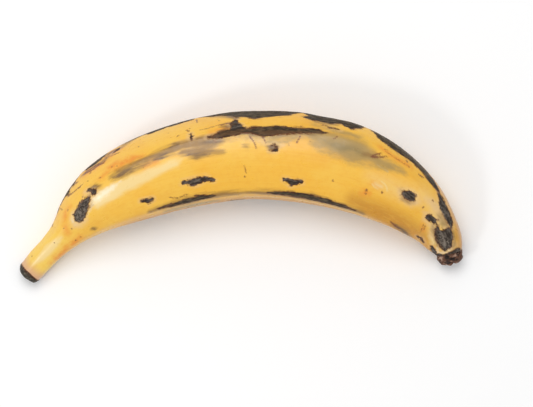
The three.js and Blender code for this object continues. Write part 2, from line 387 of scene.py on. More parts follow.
# Reddish lines and dashes where the peel was rubbed.
SCRATCHES = {
    "neck": [(40.5, 23.5, 0.35), (41.3, 37, 0.2)],
    "fork_line": [
        (49.2, 30, 0.7), (51.5, 35.4, 0.5), (53.4, 38.2, 0.4), (55.5, 40, 0.4), (57, 42.3, 0.5),
        (59.3, 42, 0.25),
    ],
    "shoulder_tick": [(55.4, 20, 0.7), (57, 27, 0.45)],
    "fray_1": [(61.5, 22, 0.4), (63.7, 26.5, 0.6), (65.3, 29, 0.65), (68.2, 32, 0.6)],
    "fray_2": [(69, 30.7, 0.5), (71.2, 31.2, 0.75), (73.5, 33.8, 0.6), (74.6, 32, 0.4)],
    "fray_3": [(75, 17.7, 0.4), (75.8, 26.6, 0.35)],
    "fray_4": [(62.6, 21.5, 0.7), (65, 23, 0.7), (68, 26, 0.6), (71, 27.5, 0.5)],
    "fray_5": [(76.6, 19, 0.5), (79, 17.5, 1.2), (81, 18, 1.2), (83, 18.5, 0.9)],
    "scab_line": [(78.5, 28, 0.4), (81, 30, 0.45), (83, 31.5, 0.4)],
    "dash": [(115.3, 49.3, 0.35), (116.5, 46.8, 0.4)],
    "near_a": [(127.5, 20.6, 0.5), (127.5, 30, 0.35)],
    "near_b": [(121.2, 41.7, 0.45), (122.2, 44.5, 0.6)],
    "above_b_1": [(128.2, 47.2, 0.15), (132, 47.2, 0.3), (135.8, 45.7, 0.35), (139.5, 44.5, 0.3)],
    "above_b_2": [(140.1, 45.2, 0.6), (141.4, 43.9, 0.5)],
    "above_b_3": [(141.4, 43.9, 0.3), (145.3, 44.5, 0.9)],
    "below_b_1": [(154.7, 65.2, 0.4), (156.7, 70.6, 0.45), (157.7, 74.9, 0.45), (158.4, 80.2, 0.4)],
    "below_b_2": [(161.8, 64.5, 0.7), (162.9, 69, 0.5), (164.1, 74, 0.3)],
    "below_b_3": [(182.8, 62.3, 0.5), (182.1, 67.4, 0.45), (181.3, 71.5, 0.45)],
    "bruise": [(200.8, 59.4, 0.2), (202.6, 55.6, 0.5)],
    "streak_dot": [(193.5, 42.4, 0.4), (194.5, 42, 0.5)],
    "bend_line": [(228.4, 51.2, 0.15), (234.7, 52.8, 0.2), (239.8, 52.5, 0.2), (243, 51.7, 0.2)],
    "bend_dash": [(249.2, 50.6, 0.45), (250.5, 50, 0.65), (252.5, 48.2, 0.4)],
    "a_end": [(259, 46.6, 0.4), (262.5, 46, 0.8)],
    "tip_hatch_1": [(268.5, 110.8, 0.3), (270.3, 122, 0.25)],
    "tip_hatch_2": [(270.2, 110.2, 0.25), (271.5, 121, 0.3)],
    "tip_hatch_3": [(270.8, 124, 0.3), (271.7, 132, 0.25)],
    "low_1": [(251, 142, 0.4), (255, 145, 0.5), (260, 148, 0.35)],
    "inner_1": [(101, 128, 0.3), (106, 132, 0.35), (113, 130, 0.3)],
    "inner_2": [(151, 104, 0.3), (152, 113, 0.35)],
    "side_1": [(90, 232, 0.35), (101, 236, 0.4), (110, 233, 0.3)],
    "side_2": [(164, 281, 0.35), (176, 283, 0.4), (187, 280, 0.3)],
    "side_3": [(208, 236, 0.3), (215, 242, 0.4), (221, 241, 0.3)],
    "side_4": [(112, 318, 0.35), (121, 322, 0.4), (133, 320, 0.3)],
    "fork_1": [(222.4, 66, 0.3), (224.3, 62, 0.55), (225.5, 59.4, 0.45), (227, 56.8, 0.35)],
    "fork_2": [(222.8, 66, 0.5), (225.6, 63.7, 0.6), (228, 60.6, 0.55), (230.6, 57.2, 0.4)],
}

# Grey-brown stains with soft, streaky edges.
STAINS = {
    "smudge": [
        (74, 66.5, 0.8), (78.5, 67, 1.3), (82.5, 67.3, 1.4), (87, 67, 1.4), (91.5, 66.8, 1.5),
        (95.5, 66.8, 1.7), (99.6, 67, 2.1), (104, 67.3, 2.4), (109, 66.5, 2.3), (113, 64.8, 2.3),
        (117, 64.5, 2),
    ],
    "strand": [
        (116, 64.5, 2), (120.3, 65.4, 2.7), (125, 66, 3.2), (130, 66.4, 3.7), (134.5, 66.6, 3.5),
        (138.5, 67, 1.8),
    ],
    "strand_low": [
        (116, 72, 1.6), (120.2, 75.5, 2.6), (123.6, 77.5, 3.1), (127.6, 78, 2.9),
        (132.8, 79.5, 2), (139, 82, 0.7),
    ],
    "a_fringe": [(136, 21, 0.7), (141, 24.5, 0.9), (144.8, 30, 1), (148, 36, 0.8)],
    "fray": [
        (60.5, 20.5, 0.4), (64, 24, 1.1), (68, 27, 1.3), (72, 28.5, 1.1), (75.5, 27, 0.7),
        (79, 21, 0.5),
    ],
    "shoulder_fringe": [(83, 21, 0.6), (87, 16, 1.6), (91, 13, 1.4)],
    "a_far": [(190, 38, 0.2), (196, 39, 0.8), (201, 36, 0.8)],
    "oval_side": [(57.9, 79, 0.2), (57, 84, 0.3), (55.5, 87, 0.1)],
    "oval_blot": [(62.2, 62.6, 0.9), (64.5, 66.5, 1.3), (66.3, 70, 0.6)],
    "neck": [(47.6, 130.5, 0.9)],
    "faint": [(151.5, 77, 0.5), (153, 78, 0.6)],
    "spot": [(166.4, 80, 1.1), (168.6, 79.5, 1.5)],
    "blotch_shade": [(245.4, 87, 0.2), (249.5, 96, 0.6), (252.8, 94.8, 0.9), (255, 92, 0.5)],
    "fork": [(219, 66, 0.4), (224, 63, 0.6)],
    "tip_shade": [(272, 96, 0.4), (276, 104, 0.8), (281, 114, 0.8), (286, 118, 0.7)],
    "tip_outer": [(280, 64, 0.9), (286, 67, 1), (290, 76, 0.8)],
    "low_flank": [(254, 146, 0.6), (260, 147, 1.8), (266, 152, 1.6), (270, 156, 0.8)],
    "c": [(86, 141, 1.2), (112, 141, 3), (150, 140, 1.2), (196, 143, 3.4), (232, 146, 1.4)],
    "d": [(52, 215, 1), (86, 214, 3), (120, 214, 1.2), (168, 217, 3.8), (232, 225, 3)],
    "e": [(80, 293, 1.2), (118, 296, 3.6), (160, 299, 1.4), (220, 307, 4), (262, 316, 1.4)],
    "under": [(112, 247, 1.2), (124, 249, 3.6), (138, 248, 1.6)],
    "b_slope": [(140.6, 47, 0.8), (143.4, 46.5, 1.2), (145, 48, 1)],
    "a_tip": [(271, 70, 0.2), (276, 70.5, 0.6), (280, 71, 0.5)],
    "scab": [(76.5, 18.5, 0.3), (79, 18.5, 1), (81.5, 19.5, 1.1), (84.5, 20, 0.5)],
    "oval_gap": [(56.5, 73, 0.2), (58.5, 70.5, 0.8), (60.5, 70.5, 0.7), (61.2, 73.5, 0.2)],
    "smudge_low": [
        (75, 71, 0.6), (78.5, 72.5, 1.1), (82.5, 73.6, 1.2), (87, 73.3, 1.1), (91.5, 72.8, 1),
        (95.5, 72, 0.8), (99, 71, 0.4),
    ],
}

# Darker brown, with soft edges.
SHADES = {
    "smudge_low": [(75, 70, 0.2), (79, 71.5, 0.5), (85, 71.8, 0.4), (91, 71.5, 0.1)],
    "smudge_end": [(99.5, 71, 0.3), (104, 71, 0.9), (107, 70, 0.4)],
    "smudge_up": [(110.5, 62.5, 0.1), (113, 61.5, 0.6), (115, 62, 0.2)],
    "strand": [(127, 67, 0.2), (133, 67, 1.1), (137.5, 67, 0.9)],
    "strand_low": [(119, 78, 0.3), (123.2, 81, 1), (127.4, 81.8, 0.9), (131.5, 82.3, 0.3)],
    "b": [
        (133, 61, 0.5), (139, 61, 1.3), (146, 60, 1.6), (161, 60, 1.9), (172, 59.3, 1.9),
        (183, 57, 1.5), (194, 54.5, 0.7),
    ],
    "b_above": [(138.5, 56, 0.6), (141.5, 53, 1.3), (144, 51, 1.2)],
    "b_peak": [(144.8, 46, 0.3), (147, 44, 0.8)],
    "a_fringe": [(144, 27, 0.4), (148, 36, 0.8)],
    "spot": [(167, 80, 0.9), (169.4, 79.5, 1.3)],
    "oval_blot": [(62.5, 63, 0.3), (64.6, 67, 0.5)],
    "neck": [(47.8, 130.7, 0.3)],
    "tip": [(276, 98, 0.2), (284, 114, 0.5), (289, 114, 0.5)],
    "low_flank": [(256, 146.5, 0.3), (261, 147.5, 0.7), (267, 154, 0.7)],
}

# Grey-green bruises that show through the peel.
BRUISES = {
    "below_b": [
        (184, 59), (188, 56.5), (192, 53), (196, 51.5), (200, 52.5), (204, 53.8), (208, 54),
        (214, 53), (218, 54.5), (221, 56.5), (226, 60), (232, 61), (238, 62), (242, 65), (238, 70),
        (233, 74), (226, 73), (221, 77), (215, 80), (207, 81), (202, 79.5), (198, 77), (194, 73),
        (189, 68),
    ],
    "under_b_1": [(136, 66.5, 0.4), (145, 66, 0.8), (153, 65, 0.2)],
    "under_b_2": [(162, 70, 0.1), (169, 73, 1), (176, 70, 0.4)],
    "notch": [(270, 76, 0.6), (275, 78, 1.2), (278, 77, 0.6)],
    "inner": [(96, 157, 2), (112, 160, 3.6), (130, 158, 2.2)],
    "under": [(140, 262, 2.4), (158, 266, 4.6), (178, 264, 2.6)],
    "outer": [(182, 330, 1.8), (200, 334, 3.6), (216, 336, 2)],
    "between": [(190, 44.5, 0.2), (200, 48, 1), (213, 48, 0.8)],
    "b_under": [
        (144, 64.5, 0.4), (154, 64, 0.2), (161, 67, 0.9), (170, 66.5, 1.9), (178, 64, 1.9),
        (188, 60, 1.4),
    ],
}

# Orange flushes.
FLUSHES = {
    "stem": [(14, 140, 0.2), (18.5, 138, 1.4), (24.8, 140, 2), (33.8, 134, 1.6), (38, 130, 0.8)],
    "stem_side": [(18.6, 152, 1), (21.5, 153, 1.6), (25, 152, 1.2), (29, 146, 0.6)],
    "neck": [(46, 52, 0.2), (42, 53, 0.7), (39, 64.7, 1), (36, 78, 0.8), (35.2, 93, 0.7)],
    "upper": [
        (75, 51.5, 0.8), (79.5, 54.5, 2.8), (84.2, 56.5, 2.8), (88.7, 58, 2.2), (93.5, 60, 0.9),
    ],
    "upper_left": [(68, 60, 0.2), (73, 57, 0.6), (77, 58, 0.4)],
    "smudge": [(94, 74.5, 0.5), (97, 74.7, 1.1), (101, 74.5, 0.6)],
    "b_above": [(134, 56.5, 0.2), (139, 54.5, 0.9), (143, 52, 0.9)],
    "scar": [(229.6, 98, 0.1), (233, 98, 0.4)],
    "flank_dots": [(226, 116, 1.2), (229, 114, 0.8)],
    "bend": [(226, 50, 0.2), (234, 53, 0.6), (243, 50, 0.2)],
    "inner": [(136, 186, 0.4), (160, 190, 1.6), (188, 192, 0.4)],
    "under": [(100, 240, 1), (130, 276, 1.6), (176, 246, 1)],
    "fray": [
        (62, 24, 0.4), (67, 29, 1.2), (72, 31, 1.2), (76, 26, 1.1), (80, 23, 1.6), (84, 23, 1),
    ],
    "tip_hatch": [(268.5, 112, 0.2), (271.5, 122, 0.2)],
}
# Paler than the peel round them. On the upper flank and the stem's top they are painted highlights.
PALE_AND_PAINTED_HIGHLIGHTS = {
    # painted highlight: the pale glow round the flank's glossy patch
    "flank": [
        (56, 84), (58, 78.5), (61.7, 77), (64, 75.5), (68, 76), (77, 78), (90, 79.5), (104, 79.5),
        (116, 80), (112, 90), (88, 98), (66, 101), (58, 100),
    ],
    "oval_rim": [
        (45, 70.5, 0.2), (42.9, 76, 0.7), (42, 84, 1.1), (41.6, 94, 1), (43.8, 101, 0.6),
    ],
    "oval_top": [(59.4, 68.2, 0.2), (60.6, 71, 0.3)],
    "ring": [(230.6, 97, 0.8), (234.6, 97, 0.9)],
    "tip_notch": [(273, 77, 1), (276.4, 76, 0.8)],
    "tip_side": [(273, 98, 0.8), (278, 117, 1.6), (283, 127, 1.4)],
    "inner": [(150, 152, 0.2), (178, 154, 0.6), (204, 156, 0.2)],
    "under": [(100, 258, 3), (150, 250, 5), (210, 246, 4)],
    # painted highlight along the stem's top
    "stem_top": [(7, 76, 0.8), (13.5, 82, 2.6), (18.8, 84, 3), (24.8, 87, 2.4), (30, 89.5, 0.8)],
}
# Pinkish beige, round the dried marks.
BEIGE_PATCHES = {
    "oval": [(46, 70, 0.2), (42.6, 78, 0.6), (41, 90, 1), (43.6, 103, 1), (49, 101, 0.5)],
    "oval_blot": [(58, 63, 0.3), (59.4, 69, 0.4), (60.6, 74, 0.3)],
    "smudge": [(113, 60, 0.4), (121, 60, 0.6), (130, 61, 0.4)],
    "strands": [(118, 70, 0.4), (126, 73, 0.8), (134, 74, 0.5)],
    "b": [(156, 68, 0.1), (166, 76, 0.4), (174, 75, 0.4)],
    "blotch_1": [(244.6, 90, 0.4), (248.5, 97, 1), (254, 96, 1), (257, 86, 0.8)],
    "tip": [(259, 73, 0.2), (263, 70.5, 1.8), (266, 71, 2.8), (269, 72, 3), (273, 76, 2.6)],
    "tip_notch": [(272, 76, 1.6), (276.4, 76, 1.8)],
    "blotch_2": [(264, 92, 0.3), (268, 102, 0.6), (273, 102, 1), (278, 116, 1)],
    "end": [(290, 72, 1), (291.2, 95, 1.2), (292, 125, 1.2), (290, 134, 0.8)],
}
# Nearly white: where the wax is thick, and a painted highlight on the flank beside the dark oval.
WAX_AND_PAINTED_HIGHLIGHTS = {
    # painted highlight: the flank's glossy patch and, next, its tail down the dark oval's side
    "flank": [
        (59.2, 76.5), (61.7, 77.8), (63.6, 76.8), (65.1, 75.6), (67.3, 76.4), (71.8, 76.8),
        (76, 78), (79.4, 79), (75, 84), (69, 89.5), (65.2, 90.5), (62.4, 90.8), (59.4, 88.5),
        (58.2, 84.5), (58.2, 80),
    ],
    "flank_tail": [(58, 83, 0.9), (56, 87.5, 0.7), (53.5, 92, 0.5), (51, 97, 0.2)],
    "tip_edge": [(290.8, 88, 0.3), (292.2, 100, 0.45), (292.4, 114, 0.45), (292.6, 131, 0.3)],
    "tip_flank": [(286.4, 124, 0.25), (290, 129, 0.45), (293.4, 138, 0.35)],
    "oval_rim": [(43, 76, 0.1), (41.9, 84, 0.4)],
}
# Where the yellow is deeper: partly the peel's own amber, partly painted shade on the sides that
# face down and away from the lamps.
DEEP_AND_PAINTED_SHADE = {
    "right_low": [
        (222, 132, 2), (240, 138, 5), (258, 142, 6), (274, 148, 5), (288, 158, 3),
    ],
    "right_outer": [(240, 8, 3), (254, 18, 5), (270, 24, 6), (284, 30, 6), (293, 32, 5)],
    "inner": [(70, 176, 4), (110, 178, 9), (170, 180, 12), (230, 182, 10), (270, 186, 6)],
    "outer": [(80, 330, 4), (130, 334, 8), (190, 338, 9), (250, 350, 6)],
}
# Painted light: a wide, weak lightening towards cream on the flank near the tip, where it curves
# away from the key light.
PAINTED_LIGHT_PATCHES = {
    "right": [
        (226, 90, 0), (234, 90, 2), (242, 90, 3), (250, 84, 3), (258, 72, 3), (264, 72, 2),
        (270, 78, 0.5),
    ],
}
# Pale grey on the dried marks: small specks, and whole patches. The spot on the tip's dark patch is
# a painted highlight.
SPECKLED = {
    "oval": [(52, 78, 1.4), (48, 82, 2.4), (44, 88, 2.2)],
    "a_tip": [(269, 63, 1), (273, 61, 1.4)],
    "tip": [(280, 98, 1), (286, 96, 3)],
}
ASH_AND_PAINTED_HIGHLIGHT = {
    # painted highlight on the tip's dark patch
    "tip": [(284, 94, 0), (286.2, 97.5, 0.4), (288.4, 103, 0)],
    "a_tip_1": [(270.6, 64.6, 0.1)],
    "a_tip_2": [(272.4, 63.6, 0.1)],
    "oval_1": [(45.5, 83.6, 0.4)],
    "oval_2": [(51.8, 82.7, 0.1)],
    "oval_3": [(48.8, 82.4, 0)],
}
# Dark tissue that reaches over the peel's edge, from the stem's cut and the flower's remnant.
CUT_EDGE = {
    "top": [(-0.8, 10, 0.6), (0.1, 50, 0.9), (0.5, 90, 1.1), (0.1, 130, 0.9), (-0.8, 170, 0.6)],
    "tip": [
        (294.4, 42, 0.4), (294, 52, 1.4), (293.6, 65, 1.9), (293.8, 80, 1.6), (294, 95, 1.2),
        (294.4, 108, 0.6),
    ],
}
# Thin raised lines.
SCARS = {
    "ring_1": [(233, 90.5, 0.25), (235.5, 91.4, 0.3), (237.6, 94.7, 0.3), (238.5, 99, 0.25)],
    "ring_2": [(228.9, 99.4, 0.2), (230.8, 102.2, 0.25), (233.4, 102.7, 0.2)],
    "line": [(227.2, 72, 0.2), (229.2, 73, 0.25), (231.2, 73, 0.2), (234, 74, 0.25)],
}

MARKS = {
    "band": BANDS, "blotch": BLOTCHES, "cut": CUT_EDGE,
    "dot": {number: [dot] for number, dot in enumerate(DOTS)},
    "scratch": SCRATCHES, "stain": STAINS, "shade": SHADES, "bruise": BRUISES, "flush": FLUSHES,
    # these hold painted highlights, painted shade on the sides that face down, and painted light
    "pale": PALE_AND_PAINTED_HIGHLIGHTS, "beige": BEIGE_PATCHES, "wax_and_painted_highlight": WAX_AND_PAINTED_HIGHLIGHTS, "deep": DEEP_AND_PAINTED_SHADE,
    "light": PAINTED_LIGHT_PATCHES, "speckled": SPECKLED, "ash_and_highlight": ASH_AND_PAINTED_HIGHLIGHT, "scar": SCARS,
}

FAR = 9.0  # the furthest that a mark's reach is kept, in millimetres
# Noise that lifts the peel: its height, its size along and round the fruit, and its seed.
SWELL = (0.35, (34, 22, 22), 0.0)
RIPPLE = (0.06, (14, 3.4, 3.4), 7.0)
WRINKLES = (0.09, (3.0, 1.1, 1.1), 3.0)  # on the dried marks alone
SINK = 0.2  # how far a dried mark sinks into the peel
SCAR_HEIGHT = 0.12
# How far inside its edge a mark's relief begins, and how far inside it is whole.
DRIED_EDGE = (-0.3, 0.8)
SCAR_EDGE = (-0.6, 0.2)
CREST_HEIGHT = 0.45  # how far a ridge's crest stands out from the smooth section
CREST_WIDTH = 3.0
THICK = 20  # the radius from which on the swell and the crests have their full height
END_FADE = 0.04  # share of the length over which the relief fades towards each end
# How far the convex side stands out from the smooth shape: millimetres along, height.
CONVEX_SWELL = np.array([
    [0, 0.7], [10, 0.6], [20, 0.0], [28, -0.5], [34, 0.0], [40, 1.0], [48, 1.3], [57, 0.9],
    [64, 0.3], [72, -0.3], [82, -0.8], [94, -1.0], [120, -1.0], [136, -1.0], [147, -0.5],
    [160, -0.6], [171, -0.1], [183, 0.3], [192, 0.0], [201, 0.4], [208, 1.0], [224, 0.8],
    [238, 0.3], [256, 0.0], [294, 0.0],
])
LIP_REACH = 1.8  # of the peel over the remnant, on the convex side
LIP_START = 0.95  # share of the length


def apart(angle, other):
    """How far one angle lies beyond another, from -180 to 180 degrees."""
    return (angle - other + 180) % 360 - 180


def stroke_reach(mark, along, angle, scale):
    """How far inside a stroke the points lie. `scale` is millimetres for a degree round the fruit."""
    best = np.full(along.shape, -FAR)
    for (a0, t0, w0), (a1, t1, w1) in zip(mark, mark[1:] or mark):
        x = along - a0
        y = apart(angle, t0) * scale
        dx = a1 - a0
        dy = (t1 - t0) * scale
        t = np.clip((x * dx + y * dy) / (dx * dx + dy * dy + 1e-9), 0, 1)
        best = np.maximum(best, w0 + (w1 - w0) * t - np.hypot(x - t * dx, y - t * dy))
    return best


def outline_reach(mark, along, angle, scale):
    """How far inside an outline the points lie."""
    nearest = np.full(along.shape, FAR)
    crossings = np.zeros(along.shape, int)
    first = mark[0][1]
    beyond = apart(angle, first)
    for (a0, t0), (a1, t1) in zip(mark, mark[1:] + mark[:1]):
        x = along - a0
        y = (beyond - (t0 - first)) * scale
        dx = a1 - a0
        dy = (t1 - t0) * scale
        t = np.clip((x * dx + y * dy) / (dx * dx + dy * dy), 0, 1)
        nearest = np.minimum(nearest, np.hypot(x - t * dx, y - t * dy))
        if dx != 0:
            crossings += ((along < a0) != (along < a1)) & (y < dy * x / dx)
    return np.where(crossings % 2 == 1, nearest, -nearest)


def reach(marks, along, angle, radius):
    """How far inside the nearest mark each point lies, in millimetres. Outside it is negative."""
    best = np.full(along.shape, -FAR)
    for mark in marks.values():
        start = min(point[0] for point in mark) - 2 * FAR
        end = max(point[0] for point in mark) + 2 * FAR
        rows = (along[:, 0] > start) & (along[:, 0] < end)
        measure = outline_reach if len(mark[0]) == 2 else stroke_reach
        inside = measure(mark, along[rows], angle[rows], np.radians(1.0) * radius[rows])
        best[rows] = np.maximum(best[rows], inside)
    return best


def step(value, low, high):
    """0 below low, 1 above high and a smooth rise between."""
    t = np.clip((value - low) / (high - low), 0, 1)
    return t * t * (3 - 2 * t)


def perlin(points, size, seed):
    """Smooth noise from about -1 to 1 at points in millimetres. `size` may be one for each axis."""
    scaled = points.reshape(-1, 3) / np.asarray(size, float) + seed
    values = [noise.noise(Vector(p)) for p in scaled]
    return np.array(values).reshape(points.shape[:-1])


def lifted(points, height, size, seed):
    """Noise as a height in millimetres."""
    return height * perlin(points, size, seed)


# ------------------------------------------------------------------------------------- the meshes

PEEL_RINGS = 392
PEEL_COLUMNS = 244
RIM_RINGS = [(0.3, 0.985), (0.5, 0.95), (0.4, 0.91), (-0.8, 0.86)]  # distance out, share of radius


def with_ends(values):
    """The values of all rings in one run, then the mean of the first ring and of the last."""
    means = [values[0].mean(0), values[-1].mean(0)]
    return np.concatenate([values.reshape(-1, *values.shape[2:]), means])


def add_object(name, data):
    """A new object in the scene."""
    added = bpy.data.objects.new(name, data)
    bpy.context.scene.collection.objects.link(added)
    return added


def tube_mesh(name, rings):
    """A closed mesh from an array of rings of points in millimetres, with a fan at each end."""
    rows, columns = rings.shape[:2]
    index = np.arange(rows * columns).reshape(rows, columns)
    here = index[:-1]
    ahead = index[1:]
    quads = np.stack([here, np.roll(here, -1, 1), np.roll(ahead, -1, 1), ahead], -1).reshape(-1, 4)
    faces = quads.tolist()
    first = rows * columns
    for ring, middle, turn in ((index[0], first, -1), (index[-1], first + 1, 1)):
        around = np.stack([np.full(columns, middle), ring, np.roll(ring, -1)], -1)
        faces += around[:, ::turn].tolist()
    mesh = bpy.data.meshes.new(name)
    mesh.from_pydata((with_ends(rings) * MM).tolist(), [], faces)
    mesh.update()
    mesh.shade_smooth()
    return add_object(name, mesh)


def add_values(piece, name, values):
    """Keeps a number or a vector for each point of a tube mesh."""
    kind, field = ("FLOAT", "value") if values.ndim == 2 else ("FLOAT_VECTOR", "vector")
    attribute = piece.data.attributes.new(name, kind, "POINT")
    attribute.data.foreach_set(field, with_ends(values).astype(np.float32).ravel())


def on_ground(points, offset):
    """Points of the fruit's own frame, moved into the row frame and kept off the ground."""
    placed = points @ TURN.T + offset
    placed[..., 2] = np.maximum(placed[..., 2], 0)
    return placed


def straightened(along, angle, radius):
    """Where the points would be if the fruit were straight. Streaks follow its first axis."""
    a = np.radians(angle)
    return np.stack([along, radius * np.cos(a), radius * np.sin(a)], -1)


def ridge_crests(share, angle, radius):
    """1 on a ridge's crest and 0 away from all of them."""
    total = np.zeros_like(angle)
    for column in range(1, 6):
        distance = apart(angle, smooth(RIDGES, column, share)) * np.radians(1.0) * radius
        total += np.exp(-((distance / CREST_WIDTH) ** 2))
    return total


def lip(share, angle):
    """How far the peel's end reaches over the flower's remnant, on the convex side."""
    return (LIP_REACH * step(share, LIP_START, 1.0) * convexness(angle))[..., None]


def peel_relief(share, angle, radius, straight, values):
    """How far the peel stands out from the smooth shape, and how far its dried marks sink."""
    swell = lifted(straight, *SWELL) + lifted(straight, *RIPPLE)
    shape = (swell + CREST_HEIGHT * ridge_crests(share, angle, radius)) * np.minimum(1, radius / THICK)
    shape += smooth(CONVEX_SWELL, 1, values["along"]) * convexness(angle)
    scar = SCAR_HEIGHT * step(values["scar"], *SCAR_EDGE)
    fade = step(share, 0, END_FADE) * step(1 - share, 0, END_FADE)
    dried = step(np.maximum(values["band"], values["blotch"]), *DRIED_EDGE)
    return fade * (shape + scar) - dried * (SINK + lifted(straight, *WRINKLES))


def make_peel(offset):
    row, angle = grid(PEEL_RINGS + 1, PEEL_COLUMNS)
    share = row / PEEL_RINGS
    along = share * PEEL_LENGTH
    radius = radius_at(share, angle)
    straight = straightened(along, angle, radius)
    values = {name: reach(marks, along, angle, radius) for name, marks in MARKS.items()}
    values["along"] = along
    relief = peel_relief(share, angle, radius, straight, values)
    body = place(share, angle, radius + relief, lip(share, angle))
    rims = [rim(end, direction, radius) for end, direction in ((0, -1), (-1, 1))]
    rings = np.concatenate([rims[0][::-1], body, rims[1]])
    piece = tube_mesh("plantain_peel", on_ground(rings, offset))
    values["straight"] = straight
    for name, value in values.items():
        add_values(piece, name, padded(value))
    return piece


def padded(values):
    """The peel's values, with those of its first and last ring repeated over the rims."""
    extra = len(RIM_RINGS)
    return np.concatenate([np.repeat(values[:1], extra, 0), values, np.repeat(values[-1:], extra, 0)])


def rim(end, direction, radius):
    """The peel's edge at one end, turned in under the dried tissue."""
    angle = grid(1, PEEL_COLUMNS)[1]
    share = np.full_like(angle, 0.0 if end == 0 else 1.0)
    reach_out = lip(share, angle)
    rings = [place(share, angle, radius[end:end + 1 or None] * part, direction * out + reach_out)
             for out, part in RIM_RINGS]
    return np.concatenate(rings)


END_COLUMNS = 200
STEM_CUT_ROWS = 60
REMNANT_ROWS = 150
REMNANT_TRIM = 0.17  # share of its radius that it lacks on the convex side
# Share of a dried end, from its edge, over which its lumps rise to their full height.
STEM_CUT_FADE = 0.2
REMNANT_FADE = 0.12
# Noise that lifts a dried end: its height, size and seed, and whether it is folded into creases.
STEM_CUT_LUMPS = [(0.22, 1.6, 11.0, False), (0.13, 0.5, 5.0, False)]
REMNANT_LUMPS = [
    (0.7, 3.6, 2.0, False), (0.4, 2.2, 9.0, True), (0.25, 1.2, 14.0, True), (0.08, 0.45, 4.0, False),
]


def roughen(piece, amounts):
    """Moves a tube mesh's points along their normals and keeps how far as `raised`, from 0 to 1."""
    mesh = piece.data
    normals = np.zeros(len(mesh.vertices) * 3, np.float32)
    mesh.vertex_normals.foreach_get("vector", normals)
    points = np.zeros_like(normals)
    mesh.vertices.foreach_get("co", points)
    points = points.reshape(-1, 3)
    points += normals.reshape(-1, 3) * (with_ends(amounts) * MM)[:, None]
    points[:, 2] = np.maximum(points[:, 2], 0)
    mesh.vertices.foreach_set("co", points.ravel())
    mesh.update()
    add_values(piece, "raised", (amounts - amounts.min()) / (amounts.max() - amounts.min()))


def make_end(name, end, rows, fade, lumps, offset, trim=0.0):
    """A dried end with a rough surface. Its rings run from the stem to the tip, as the peel's do."""
    rings, at = end_surface(end, rows, END_COLUMNS, trim)
    placed = on_ground(rings, offset)[::end["direction"]]
    piece = tube_mesh(name, placed)
    amounts = np.zeros(at.shape)
    for height, size, seed, folded in lumps:
        lump = perlin(placed, size, seed)
        amounts += height * (1 - 2 * np.abs(lump) if folded else lump)
    roughen(piece, amounts * step(at[::end["direction"]], 0.0, fade))
    return piece


# ---------------------------------------------------------------------------------- the materials

ALBEDO = 0.9  # share of a screen colour that a surface has of its own, under this scene's lights


def srgb(red, green, blue):
    """The colour of a surface that looks like this on a screen, 0 to 255, in full light."""
    shares = [level / 255 for level in (red, green, blue)]
    linear = [c / 12.92 if c <= 0.04045 else ((c + 0.055) / 1.055) ** 2.4 for c in shares]
    return tuple(ALBEDO * c for c in linear) + (1.0,)


GOLD = srgb(250, 190, 62)
LEMON = srgb(251, 201, 80)
AMBER = srgb(238, 170, 50)
# deeper amber, also used as painted shade on the sides that face down
DEEP_AMBER_AND_SHADE = srgb(204, 138, 36)
STEM_YELLOW = srgb(252, 216, 104)
ORANGE = srgb(238, 134, 36)
# pale cream, also used for painted highlights and painted light
CREAM = srgb(249, 219, 150)
# white of thick wax, also used for a painted highlight on the flank
WAX_AND_HIGHLIGHT_WHITE = srgb(255, 246, 216)
PINKISH = srgb(220, 170, 136)
OLIVE = srgb(174, 143, 82)
DARK_OLIVE = srgb(138, 119, 72)
GREY_BROWN = srgb(148, 108, 48)
DUSK = srgb(100, 74, 48)
UMBER = srgb(98, 66, 36)
RED_BROWN = srgb(118, 54, 20)
SPOT = srgb(126, 74, 36)
HALO = srgb(240, 200, 142)
BAND_DARK = srgb(50, 38, 24)
BAND_GREY = srgb(104, 88, 64)
BLOTCH_DARK = srgb(48, 38, 30)
BLOTCH_GREY = srgb(114, 103, 92)
# pale grey ash, also used for a painted highlight on the tip's dark patch
ASH_AND_HIGHLIGHT_GREY = srgb(150, 138, 124)
# A dried end's colours in its hollows and where it stands out, its pale crests, and where those
# start. Darker hollows and paler crests are partly its own colour, partly painted shade and highlight.
STEM_CUT_TONES = (srgb(52, 47, 38), srgb(98, 89, 73), srgb(136, 126, 108), 0.6)
REMNANT_TONES = (srgb(30, 14, 6), srgb(104, 66, 44), srgb(186, 152, 130), 0.58)
PEEL_BUMP = 0.12
END_BUMP = 0.25
# Scales of the noise on the dried ends, for places in metres.
END_GRAIN = 900.0
END_PATCHES = 260.0


